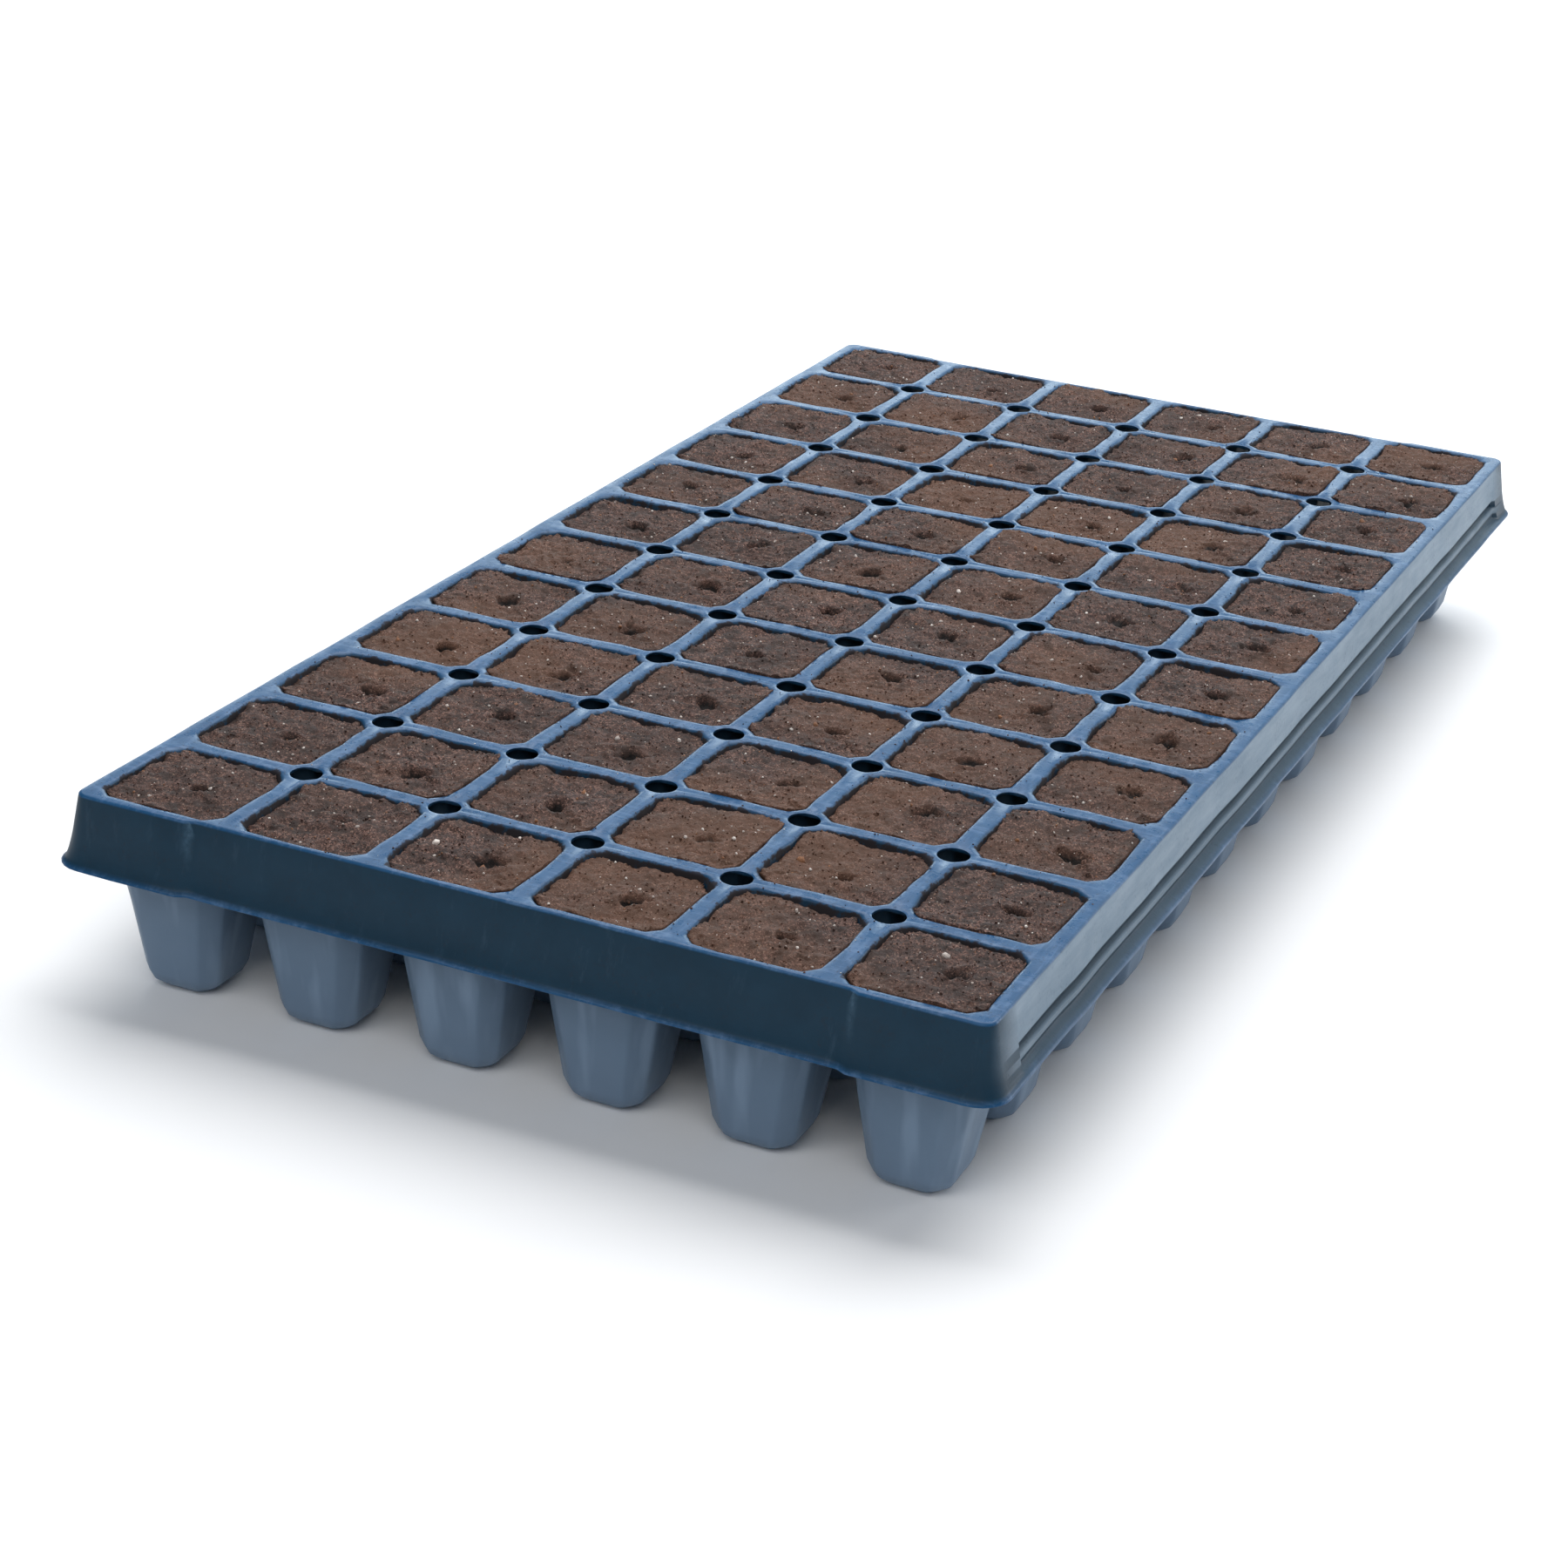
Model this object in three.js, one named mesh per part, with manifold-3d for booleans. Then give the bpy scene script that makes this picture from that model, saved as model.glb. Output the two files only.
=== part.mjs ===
// A 72-cell plug tray for raising seedlings: one thermoformed plastic sheet with six cells across and
// twelve along, and the plug of growing medium that stands in each cell.
// Millimetres. +X across the tray, +Y along it, +Z up. The origin is on the surface that the cells
// stand on, under the middle of the tray.

import * as THREE from "three";
import { mergeVertices } from "three/addons/utils/BufferGeometryUtils.js";
import Module from "manifold-3d";

// ---- driving dimensions ----

const CELLS_ACROSS = 6;
const CELLS_ALONG = 12;
const PITCH = 44; // from one cell to the next, the same both ways
const HEIGHT = 60; // deck to cell feet
const SHEET = 1.2; // thickness of the moulded sheet

// cells, measured inside
const MOUTH_HALF = 19; // half the width of the mouth in the deck
const FLOOR_HALF = 11; // half the width near the floor, where the sides meet the rounded foot
const MOUTH_CORNER = 4.6; // corner chamfer of the mouth
const FLOOR_CORNER = 4; // corner chamfer near the floor
const FOOT_RISE = 4.5; // height of the rounded foot
const FOOT_INSET = 4; // how far the foot draws in below that
const FOOT_CORNER_SHARE = 0.7; // its corner chamfer, against the one above it

// deck and skirt: half sizes of the deck, then what each level of the skirt adds to them
const DECK_MARGIN_X = 2; // deck beyond the cell grid on the long sides
const DECK_MARGIN_Y = 1; // and on the short ends
const DECK_CORNER = 5; // corner radius of the deck's outline
const SKIRT_OUTSIDE = [
  // [depth below the deck, outset from the deck's edge, depth of the groove along the long sides]
  [0, 0, 0],
  [12.5, 1.5, 0],
  [14, 1.8, 0.9],
  [15.5, 2.1, 0],
  [18.6, 3.4, 0],
  [19.6, 5.2, 0],
  [20.4, 5.2, 0],
];
const SKIRT_INSIDE = [
  [SHEET, -SHEET, 0],
  [12.5, 1.5 - SHEET, 0],
  [14, 1.8 - SHEET, 0.9],
  [15.5, 2.1 - SHEET, 0],
  [20.4, 2.8, 0],
];
const END_STEP_X = 97; // the end skirts are set back between here and the same place mirrored
const END_STEP_DEPTH = 1.5;
const END_STEP_WIDTH = 4;
const GROOVE_END_Y = 250; // the groove in each long side stops here
const GROOVE_END_WIDTH = 1.5; // and takes this long to come up to the surface
const CORNER_STEPS = 3; // chords in each rounded corner

// holes
const VENT_RADIUS = 4.6; // air holes at the crossings of the ribs
const VENT_SIDES = 8;
const DRAIN_RADIUS = 3.8; // drain hole in each cell's floor
const DRAIN_SIDES = 6;

// plugs
const CLEARANCE = 0.3; // between the medium and the plastic
const FILL_DEPTH = 2.5; // the medium's surface below the deck
const TIED_ROWS = 3; // the last rows, whose plugs hang together by the medium spilt over the ribs
const TIE_WIDTH = 6; // the spilt medium, along the tray
const TIE_REACH = 5.6; // from the middle of the rib, across the tray
const TIE_CROWN = 0.8; // its thickness on top of the rib
const TIE_ROOT = 2; // how far it runs down into each plug

const CUT = 2; // how far a cutter runs past what it cuts
const CHAMFER_GAIN = 2 - Math.SQRT2; // how a corner chamfer's leg grows as its octagon is drawn outwards
const KNEE = SHEET + FOOT_RISE; // where the rounded foot meets the sides
const GRID_X = CELLS_ACROSS * PITCH;
const GRID_Y = CELLS_ALONG * PITCH;
const DECK_HALF_X = GRID_X / 2 + DECK_MARGIN_X;
const DECK_HALF_Y = GRID_Y / 2 + DECK_MARGIN_Y;

// ---- materials ----

const plastic = new THREE.MeshStandardMaterial({ color: 0x3f628c, roughness: 0.45, metalness: 0 });
const medium = new THREE.MeshStandardMaterial({ color: 0x3a2a22, roughness: 0.95, metalness: 0 });

// ---- shapes ----

// A closed solid through rings of points round the Z axis, the lowest ring first. Every ring has the same
// number of [x, y] points, anticlockwise seen from above, and the ends are fans about the axis.
function loft(rings) {
  const count = rings[0].points.length;
  const positions = [];
  const index = [];
  for (const ring of rings)
    for (const [x, y] of ring.points) positions.push(x, y, ring.z);
  const bottom = count * rings.length;
  const top = bottom + 1;
  const lastRing = bottom - count;
  positions.push(0, 0, rings[0].z, 0, 0, rings.at(-1).z);
  for (let i = 0; i < count; i++) {
    const next = (i + 1) % count;
    index.push(bottom, next, i);
    index.push(top, lastRing + i, lastRing + next);
    for (let low = 0; low < lastRing; low += count) {
      const high = low + count;
      index.push(low + i, low + next, high + next);
      index.push(low + i, high + next, high + i);
    }
  }
  const geometry = new THREE.BufferGeometry();
  geometry.setAttribute("position", new THREE.Float32BufferAttribute(positions, 3));
  geometry.setIndex(index);
  return geometry;
}

// A square with its corners cut off, as eight points.
function chamferedSquare(half, chamfer) {
  const near = half - chamfer;
  return [
    [half, -near],
    [half, near],
    [near, half],
    [-near, half],
    [-half, near],
    [-half, -near],
    [-near, -half],
    [near, -half],
  ];
}

// The shape of a cell, a distance out from its inside face, between two levels.
function cellShape(out, low, high) {
  const section = (z) => {
    const up = (z - KNEE) / (HEIGHT - KNEE);
    const half = THREE.MathUtils.lerp(FLOOR_HALF, MOUTH_HALF, up);
    const chamfer = THREE.MathUtils.lerp(FLOOR_CORNER, MOUTH_CORNER, up);
    return { points: chamferedSquare(half + out, chamfer + out * CHAMFER_GAIN), z };
  };
  const foot = chamferedSquare(FLOOR_HALF + out - FOOT_INSET, FLOOR_CORNER * FOOT_CORNER_SHARE);
  return loft([{ points: foot, z: low }, section(KNEE), section(high)]);
}

// The tray's outline seen from above, a distance out from the deck's edge: rounded corners, the middle
// of each short end set back by a step, and the groove along each long side.
function outline(out, groove) {
  const halfX = DECK_HALF_X + out;
  const halfY = DECK_HALF_Y + out;
  const radius = DECK_CORNER + out;
  const quarter = [
    [halfX - groove, GROOVE_END_Y - GROOVE_END_WIDTH],
    [halfX, GROOVE_END_Y],
  ];
  for (let i = 0; i <= CORNER_STEPS; i++) {
    const angle = (i * Math.PI) / 2 / CORNER_STEPS;
    const x = halfX - radius + radius * Math.cos(angle);
    const y = halfY - radius + radius * Math.sin(angle);
    quarter.push([x, y]);
  }
  quarter.push([END_STEP_X + END_STEP_WIDTH / 2, halfY]);
  quarter.push([END_STEP_X - END_STEP_WIDTH / 2, halfY - END_STEP_DEPTH]);
  const mirrored = quarter.map(([x, y]) => [-x, y]).reverse();
  const half = [...quarter, ...mirrored];
  return [...half, ...half.map(([x, y]) => [-x, -y])];
}

function skirtLoft(levels) {
  const rings = levels.map(([depth, out, groove]) => ({
    points: outline(out, groove),
    z: HEIGHT - depth,
  }));
  return loft(rings.reverse());
}

// Deck and skirt before the cells are added: a lid, open underneath.
function lid() {
  const [depth, out, groove] = SKIRT_INSIDE.at(-1);
  const inside = [...SKIRT_INSIDE, [depth + CUT, out, groove]];
  return solid(skirtLoft(SKIRT_OUTSIDE)).subtract(solid(skirtLoft(inside)));
}

// An upright post of regular section, for cutting round holes.
function post(radius, sides, low, high) {
  const geometry = new THREE.CylinderGeometry(radius, radius, high - low, sides);
  geometry.rotateX(Math.PI / 2);
  geometry.translate(0, 0, (low + high) / 2);
  return geometry;
}

// ---- joining and cutting ----

const wasm = await Module();
wasm.setup();

function solid(geometry) {
  const bare = new THREE.BufferGeometry();
  bare.setAttribute("position", geometry.getAttribute("position"));
  bare.setIndex(geometry.getIndex());
  const merged = mergeVertices(bare, 1e-4);
  return new wasm.Manifold(
    new wasm.Mesh({
      numProp: 3,
      vertProperties: merged.attributes.position.array,
      triVerts: new Uint32Array(merged.index.array),
    }),
  );
}

function geometryOf(made) {
  const mesh = made.getMesh();
  const geometry = new THREE.BufferGeometry();
  geometry.setAttribute("position", new THREE.BufferAttribute(mesh.vertProperties, 3));
  geometry.setIndex(new THREE.BufferAttribute(mesh.triVerts, 1));
  geometry.computeVertexNormals();
  return geometry;
}

// ---- places ----

const cellX = (column) => (column - (CELLS_ACROSS - 1) / 2) * PITCH;
const cellY = (row) => (row - (CELLS_ALONG - 1) / 2) * PITCH;

function eachCell(visit) {
  for (let row = 0; row < CELLS_ALONG; row++)
    for (let column = 0; column < CELLS_ACROSS; column++)
      visit(cellX(column), cellY(row), row, column);
}

function eachCrossing(visit) {
  for (let row = 1; row < CELLS_ALONG; row++)
    for (let column = 1; column < CELLS_ACROSS; column++)
      visit(cellX(column) - PITCH / 2, cellY(row) - PITCH / 2);
}

// ---- the tray ----

function tray() {
  const cup = solid(cellShape(SHEET, 0, HEIGHT - SHEET / 2));
  const room = solid(cellShape(0, SHEET, HEIGHT + CUT));
  const drain = solid(post(DRAIN_RADIUS, DRAIN_SIDES, -CUT, SHEET + CUT));
  const vent = solid(post(VENT_RADIUS, VENT_SIDES, HEIGHT - SHEET - CUT, HEIGHT + CUT));
  let made = lid();
  eachCell((x, y) => (made = made.add(cup.translate([x, y, 0]))));
  eachCell((x, y) => (made = made.subtract(room.translate([x, y, 0]))));
  eachCell((x, y) => (made = made.subtract(drain.translate([x, y, 0]))));
  eachCrossing((x, y) => (made = made.subtract(vent.translate([x, y, 0]))));
  return geometryOf(made);
}

// ---- the plugs ----

const plugShape = cellShape(-CLEARANCE, SHEET + CLEARANCE, HEIGHT - FILL_DEPTH);

// The medium spilt over the rib between two plugs: a saddle over the rib's tapering section.
function tie() {
  const low = HEIGHT - FILL_DEPTH - TIE_ROOT;
  const crown = HEIGHT + CLEARANCE;
  const high = crown + TIE_CROWN;
  const block = new THREE.BoxGeometry(2 * TIE_REACH, TIE_WIDTH, high - low);
  block.translate(0, 0, (low + high) / 2);
  const ribHalf = (z) => {
    const up = (z - KNEE) / (HEIGHT - KNEE);
    return PITCH / 2 - THREE.MathUtils.lerp(FLOOR_HALF, MOUTH_HALF, up) + CLEARANCE;
  };
  const section = (z) => {
    const x = ribHalf(z);
    const y = TIE_WIDTH / 2 + CUT;
    const points = [
      [x, -y],
      [x, y],
      [-x, y],
      [-x, -y],
    ];
    return { points, z };
  };
  return solid(block).subtract(solid(loft([section(low - CUT), section(crown)])));
}

// A whole row of plugs with the ties between them.
function tiedRow() {
  const plug = solid(plugShape);
  const link = tie();
  let made = plug.translate([cellX(0), 0, 0]);
  for (let column = 1; column < CELLS_ACROSS; column++) {
    made = made.add(plug.translate([cellX(column), 0, 0]));
    made = made.add(link.translate([cellX(column) - PITCH / 2, 0, 0]));
  }
  return geometryOf(made);
}

// ---- the object ----

const root = new THREE.Group();

function place(geometry, material, name, x, y) {
  const mesh = new THREE.Mesh(geometry, material);
  mesh.name = name;
  mesh.position.set(x, y, 0);
  root.add(mesh);
}

place(tray(), plastic, "tray", 0, 0);

const looseRows = CELLS_ALONG - TIED_ROWS;
eachCell((x, y, row, column) => {
  if (row < looseRows) place(plugShape, medium, `plug_row${row + 1}_cell${column + 1}`, x, y);
});

const rowShape = tiedRow();
for (let row = looseRows; row < CELLS_ALONG; row++)
  place(rowShape, medium, `plugs_row${row + 1}`, 0, cellY(row));

export default root;
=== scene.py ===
import itertools
import math

import bpy
import numpy as np
from mathutils import Matrix, Vector


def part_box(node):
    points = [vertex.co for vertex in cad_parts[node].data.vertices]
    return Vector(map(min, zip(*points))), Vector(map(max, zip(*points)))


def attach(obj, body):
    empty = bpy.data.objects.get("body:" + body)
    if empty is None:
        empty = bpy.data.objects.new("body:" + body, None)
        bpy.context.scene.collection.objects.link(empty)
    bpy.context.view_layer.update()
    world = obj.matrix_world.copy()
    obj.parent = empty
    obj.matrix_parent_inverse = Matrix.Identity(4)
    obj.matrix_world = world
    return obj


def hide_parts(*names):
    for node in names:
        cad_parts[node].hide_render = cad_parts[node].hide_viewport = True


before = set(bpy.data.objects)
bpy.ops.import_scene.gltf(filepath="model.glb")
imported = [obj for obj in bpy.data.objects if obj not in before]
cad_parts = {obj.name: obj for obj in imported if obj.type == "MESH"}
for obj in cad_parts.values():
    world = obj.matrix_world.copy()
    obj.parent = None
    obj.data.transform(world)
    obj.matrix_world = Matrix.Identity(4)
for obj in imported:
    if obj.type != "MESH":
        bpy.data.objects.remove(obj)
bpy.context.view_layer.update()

# The looks of a 72-cell plug tray: the thermoformed sheet as one shell, and a plug of growing
# medium in each cell. Metres, in the frame of the CAD model: +X across the tray, +Y along it,
# +Z up. The photo looks from the -Y end.

MM = 0.001


# ---- sizes ----

FIRST_PLUG = "plug_row1_cell1"
PLUG_LOW, PLUG_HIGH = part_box(FIRST_PLUG)
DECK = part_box("tray")[1].z
SHEET = 1.2 * MM
CELLS_ACROSS = 6
CELLS_ALONG = 12
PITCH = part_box("plug_row1_cell2")[0].x - PLUG_LOW.x
GRID_HALF_X = CELLS_ACROSS * PITCH / 2
GRID_HALF_Y = CELLS_ALONG * PITCH / 2
TINY = MM / 100

# a cell, inside: half its width at deck level if its wall ran straight up, how far the wall draws
# in per metre of depth, and the radii of its rounded mouth, its foot and the hole in its floor
MOUTH_HALF = 19 * MM
DRAW_IN = 8 / 54.3
SHOULDER_RADIUS = 1.1 * MM
FOOT_RADIUS = 6 * MM
DRAIN_RADIUS = 3.8 * MM
WALL_LEAN = math.atan(DRAW_IN)
BEND = math.pi / 2 - WALL_LEAN

# how much is cut off its corners, how soft the bends beside the cut are, and how far its sides bow
DECK_CORNER_CUT, MOUTH_CORNER, WALL_CORNER, FLOOR_CORNER = 3.8 * MM, 4.2 * MM, 5.4 * MM, 3.8 * MM
DECK_SOFTNESS, MOUTH_SOFTNESS, WALL_SOFTNESS = 1.2 * MM, 2.4 * MM, 1.2 * MM
MOUTH_BOW, WALL_BOW = 0.25 * MM, 0.15 * MM

# an air hole where the ribs cross, and how far the deck dips round it
VENT_RADIUS = 4.6 * MM
VENT_DIP = 0.35 * MM

# the deck's edge, where the flat of the deck ends inside it, the bend from which an edge is drawn
# sharp, and the features of the skirt
DECK_HALF_X = GRID_HALF_X + 2 * MM
DECK_HALF_Y = GRID_HALF_Y + 1 * MM
DECK_CORNER = 4 * MM
EDGE_RADIUS = 0.9 * MM
FLAT_END = -EDGE_RADIUS - 0.05 * MM
SHARP_BEND = math.radians(38)
END_STEP_X = 97 * MM
END_STEP_DEPTH = 1.5 * MM
END_STEP_HALF_RUN = 1.5 * MM
GROOVE_END_Y = 250 * MM
GROOVE_END_RUN = 1.5 * MM
SKIRT_PROFILE = [
    # mm: depth below the deck, outset on the ends and corners, outset along the long sides
    (6.0, 0.95, 0.65),
    (11.6, 1.95, 1.30),
    (12.1, 2.05, 0.95),
    (12.7, 2.18, 0.25),
    (13.8, 2.42, 0.25),
    (14.3, 2.54, 1.20),
    (14.8, 2.66, 2.00),
    (16.1, 3.00, 2.25),
    (16.7, 3.18, 1.85),
    (17.6, 3.48, 1.90),
    (18.3, 3.75, 2.55),
    (18.8, 3.98, 3.40),
    (19.3, 4.35, 4.50),
    (19.6, 4.80, 5.00),
    (20.0, 5.16, 5.20),
    (20.4, 5.20, 5.20),
]

# the medium: its gap to the wall, the fineness of a plug's top and sides, how far below the deck
# the plugs stand and by how much each row is fuller than the one before it, and how far the
# bottom curls up at its edge
PLUG_GAP = 0.25 * MM
PLUG_GRID = 56
PLUG_LAYERS = 10
TOP_DROP = 1.15 * MM
ROW_RISE = 0.04 * MM
BOTTOM_CURL = 3.025 * MM
LARGE_BITS = [
    # the biggest bits that the photo shows: row, cell, place on the plug's top from -1 to 1,
    # size, kind
    (1, 3, (0.18, -0.10), 1.7 * MM, "bark"),
    (1, 3, (-0.72, 0.12), 1.5 * MM, "perlite"),
    (1, 6, (-0.03, 0.43), 1.2 * MM, "perlite"),
]


# ---- helpers ----

def smooth_noise(points, size, seed):
    """Smooth noise from -1 to 1 at each point, with features of that size."""
    tiles = 32
    table = np.random.default_rng(seed).uniform(-1, 1, (tiles, tiles, tiles))
    scaled = np.asarray(points) / size
    cell = np.floor(scaled).astype(int)
    part = scaled - cell
    part = part * part * (3 - 2 * part)
    total = np.zeros(len(scaled))
    for corner in itertools.product((0, 1), repeat=3):
        weight = np.prod(np.where(corner, part, 1 - part), axis=1)
        at = (cell + corner) % tiles
        total += weight * table[at[:, 0], at[:, 1], at[:, 2]]
    return total


def weld(points, faces, step):
    """Joins the points that round to the same multiple of the step: the points to keep, by
    index, and the faces between them."""
    keys = np.round(points / step).astype(np.int64)
    _, kept, index = np.unique(keys, axis=0, return_index=True, return_inverse=True)
    return kept, index.reshape(-1)[faces]


def mesh_object(name, points, faces, attributes=None):
    """A mesh object from points and a list of face arrays, with a float for each point in each
    of the named attributes."""
    mesh = bpy.data.meshes.new(name)
    counts = np.concatenate([np.full(len(f), f.shape[1]) for f in faces])
    corners = np.concatenate([f.reshape(-1) for f in faces])
    mesh.vertices.add(len(points))
    mesh.vertices.foreach_set("co", np.asarray(points, np.float32).reshape(-1))
    mesh.loops.add(len(corners))
    mesh.loops.foreach_set("vertex_index", corners.astype(np.int32))
    mesh.polygons.add(len(counts))
    starts = np.concatenate([[0], np.cumsum(counts)[:-1]])
    mesh.polygons.foreach_set("loop_start", starts.astype(np.int32))
    mesh.update(calc_edges=True)
    mesh.validate()
    for key, values in (attributes or {}).items():
        layer = mesh.attributes.new(key, "FLOAT", "POINT")
        layer.data.foreach_set("value", np.asarray(values, np.float32))
    mesh.shade_smooth()
    made = bpy.data.objects.new(name, mesh)
    bpy.context.collection.objects.link(made)
    return made


def cell_centres():
    """(row, cell, x, y) for each cell, row 1 at the -Y end and cell 1 on the -X side."""
    middle = (PLUG_LOW + PLUG_HIGH) / 2
    for row in range(CELLS_ALONG):
        for cell in range(CELLS_ACROSS):
            yield row + 1, cell + 1, middle.x + cell * PITCH, middle.y + row * PITCH


# ---- the tray ----

# a ring round a cell has, in each quarter, this many points round the corner and then the points
# at these shares of the side
CORNER_POINTS = 7
SIDE_SHARES = (0.5, 0.0, -0.5)
QUARTER_POINTS = CORNER_POINTS + len(SIDE_SHARES)
RING_POINTS = 4 * QUARTER_POINTS


def four_quarters(quarter):
    """A ring from its first quarter, turned round the cell's axis."""
    x, y = np.array(quarter).T
    turned = [(x, y), (-y, x), (-x, -y), (y, -x)]
    return np.concatenate([np.column_stack(pair) for pair in turned])


def section(half, corner, softness, bow=0.0):
    """A square with chamfered, softened corners and slightly bowed sides."""
    eighth = math.pi / 8
    reach = min(softness, corner / math.sqrt(2) / math.tan(eighth) * 0.98)
    run = reach * math.tan(eighth)
    quarter = []
    for step in range(3):
        turn = step * eighth
        x = half - reach + reach * math.cos(turn)
        y = half - corner - run + reach * math.sin(turn)
        quarter.append((x, y))
    quarter.append((half - corner / 2, half - corner / 2))
    quarter += [(y, x) for x, y in reversed(quarter[:3])]
    flat = half - corner - run
    for share in SIDE_SHARES:
        quarter.append((flat * share, half + bow * (1 - share * share)))
    return four_quarters(quarter)


def patch_edge(quarter):
    """The outer ring of one cell's patch of deck, from its first corner's points."""
    flat = PITCH / 2 - VENT_RADIUS
    return four_quarters(quarter + [(flat * share, PITCH / 2) for share in SIDE_SHARES])


def vented_edge():
    """The ring with a quarter of an air hole at each corner."""
    quarter = []
    for step in range(CORNER_POINTS):
        turn = 1.5 * math.pi - step * math.pi / 12
        x, y = VENT_RADIUS * math.cos(turn), VENT_RADIUS * math.sin(turn)
        quarter.append((PITCH / 2 + x, PITCH / 2 + y))
    return patch_edge(quarter)


def whole_edge():
    """The ring where there are no air holes, out to the corners of the patch."""
    quarter = []
    for step in range(CORNER_POINTS):
        up = min(step / 3, 1)
        across = max(step / 3 - 1, 0)
        quarter.append((PITCH / 2 - VENT_RADIUS * across, PITCH / 2 - VENT_RADIUS * (1 - up)))
    return patch_edge(quarter)


def level_ring(flat, z):
    """A ring of points at one height."""
    return np.column_stack([flat, np.full(len(flat), z)])


def shoulder_rings():
    """From the flat of the deck over the rounded edge of the cell's mouth."""
    rings = []
    start = SHOULDER_RADIUS * math.tan(BEND / 2)
    for step in range(4):
        turn = BEND * step / 3
        outset = start - SHOULDER_RADIUS * math.sin(turn)
        drop = SHOULDER_RADIUS * (1 - math.cos(turn))
        cut = DECK_CORNER_CUT + (MOUTH_CORNER - DECK_CORNER_CUT) * step / 3
        soft = DECK_SOFTNESS + (MOUTH_SOFTNESS - DECK_SOFTNESS) * step / 3
        rings.append(level_ring(section(MOUTH_HALF + outset, cut, soft, MOUTH_BOW), DECK - drop))
    return rings


def wall_rings():
    """Down the cell's sloping wall, at shares of its height, as its corners lose their softness."""
    rings = []
    foot_top = SHEET + FOOT_RADIUS * (1 - math.cos(BEND))
    top = DECK - SHOULDER_RADIUS
    for share, softness in ((0.12, 0.6), (0.32, 0.2), (0.62, 0.0)):
        z = top + (foot_top - top) * share
        half = MOUTH_HALF - (DECK - z) * DRAW_IN
        cut = WALL_CORNER + (FLOOR_CORNER - WALL_CORNER) * share
        soft = WALL_SOFTNESS + (MOUTH_SOFTNESS - WALL_SOFTNESS) * softness
        rings.append(level_ring(section(half, cut, soft, WALL_BOW), z))
    return rings


def foot_rings():
    """Round the foot to the cell's floor."""
    rings = []
    wall_end = MOUTH_HALF - (DECK - SHEET) * DRAW_IN
    run = FOOT_RADIUS * math.tan(BEND / 2)
    for step in range(4):
        turn = BEND * (1 - step / 3)
        half = wall_end - run + FOOT_RADIUS * math.sin(turn)
        z = SHEET + FOOT_RADIUS * (1 - math.cos(turn))
        cut = FLOOR_CORNER * half / (wall_end + 0.5 * MM)
        rings.append(level_ring(section(half, cut, WALL_SOFTNESS * (1 + step / 2)), z))
    return rings


def drain_rings(outside):
    """The rim of the drain hole and its edge, with a point for each point of the ring outside."""
    angle = np.arctan2(outside[:, 1], outside[:, 0])
    rings = []
    for radius, z in ((DRAIN_RADIUS + 0.5 * MM, SHEET), (DRAIN_RADIUS, SHEET - 0.1 * MM)):
        circle = np.column_stack([radius * np.cos(angle), radius * np.sin(angle)])
        rings.append(level_ring(circle, z))
    return rings


def cell_rings():
    """The cell's surface, from the flat of the deck down to its drain hole, as rings of points."""
    rings = shoulder_rings() + wall_rings() + foot_rings()
    return rings + drain_rings(rings[-1])


def on_long_side(base):
    """Which points of the cell grid are on one of its long sides."""
    return np.abs(base[:, 0]) > GRID_HALF_X - TINY


def on_rim(base):
    """Which points of the cell grid are on its rectangle."""
    return on_long_side(base) | (np.abs(base[:, 1]) > GRID_HALF_Y - TINY)


def along_side(y):
    """Moves points along a long side, so that two of them stand close together at the groove's
    end."""
    middle = GRID_HALF_Y - PITCH / 2
    quarter_side = (PITCH / 2 - VENT_RADIUS) / 2
    before, behind = middle - quarter_side, middle + quarter_side
    return np.interp(
        y,
        [0, before, middle, behind, GRID_HALF_Y],
        [0, before, GROOVE_END_Y - GROOVE_END_RUN, GROOVE_END_Y, GRID_HALF_Y],
    )


def along_end(x):
    """Moves points along an end, so that two of them stand close together at its step."""
    step_low = GRID_HALF_X - PITCH + VENT_RADIUS
    step_high = GRID_HALF_X - PITCH / 2 - (PITCH / 2 - VENT_RADIUS) / 2
    before, behind = step_low - VENT_RADIUS, GRID_HALF_X - PITCH / 2
    low, high = END_STEP_X - END_STEP_HALF_RUN, END_STEP_X + END_STEP_HALF_RUN
    moved = np.interp(x, [0, before, step_low, step_high, behind], [0, before, low, high, behind])
    return np.where(x > behind, x, moved)


def on_outline(base, end_out, side_out):
    """Moves points of the cell grid's rectangle to the tray's outline, set out from the deck's
    edge by one amount on the ends and corners and by another along the long sides."""
    x, y = np.abs(base[:, 0]), np.abs(base[:, 1])
    half_x, half_y = DECK_HALF_X + end_out, DECK_HALF_Y + end_out
    radius = DECK_CORNER + end_out
    reach = VENT_RADIUS + TINY
    in_corner = (x > GRID_HALF_X - reach) & (y > GRID_HALF_Y - reach)
    up = (y - GRID_HALF_Y) / VENT_RADIUS + 1
    across = (GRID_HALF_X - x) / VENT_RADIUS
    turn = np.clip(up + across, 0, 2) * math.pi / 4
    corner_x = half_x - radius + radius * np.cos(turn)
    corner_y = half_y - radius + radius * np.sin(turn)
    side_y = along_side(y)
    side_x = DECK_HALF_X + np.where(side_y < GROOVE_END_Y - MM, side_out, end_out)
    end_x = along_end(x)
    end_y = half_y - np.where(end_x < END_STEP_X, END_STEP_DEPTH, 0)
    on_side = on_long_side(base)
    new_x = np.where(in_corner, corner_x, np.where(on_side, side_x, end_x))
    new_y = np.where(in_corner, corner_y, np.where(on_side, side_y, end_y))
    return np.column_stack([np.sign(base[:, 0]) * new_x, np.sign(base[:, 1]) * new_y])


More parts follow.
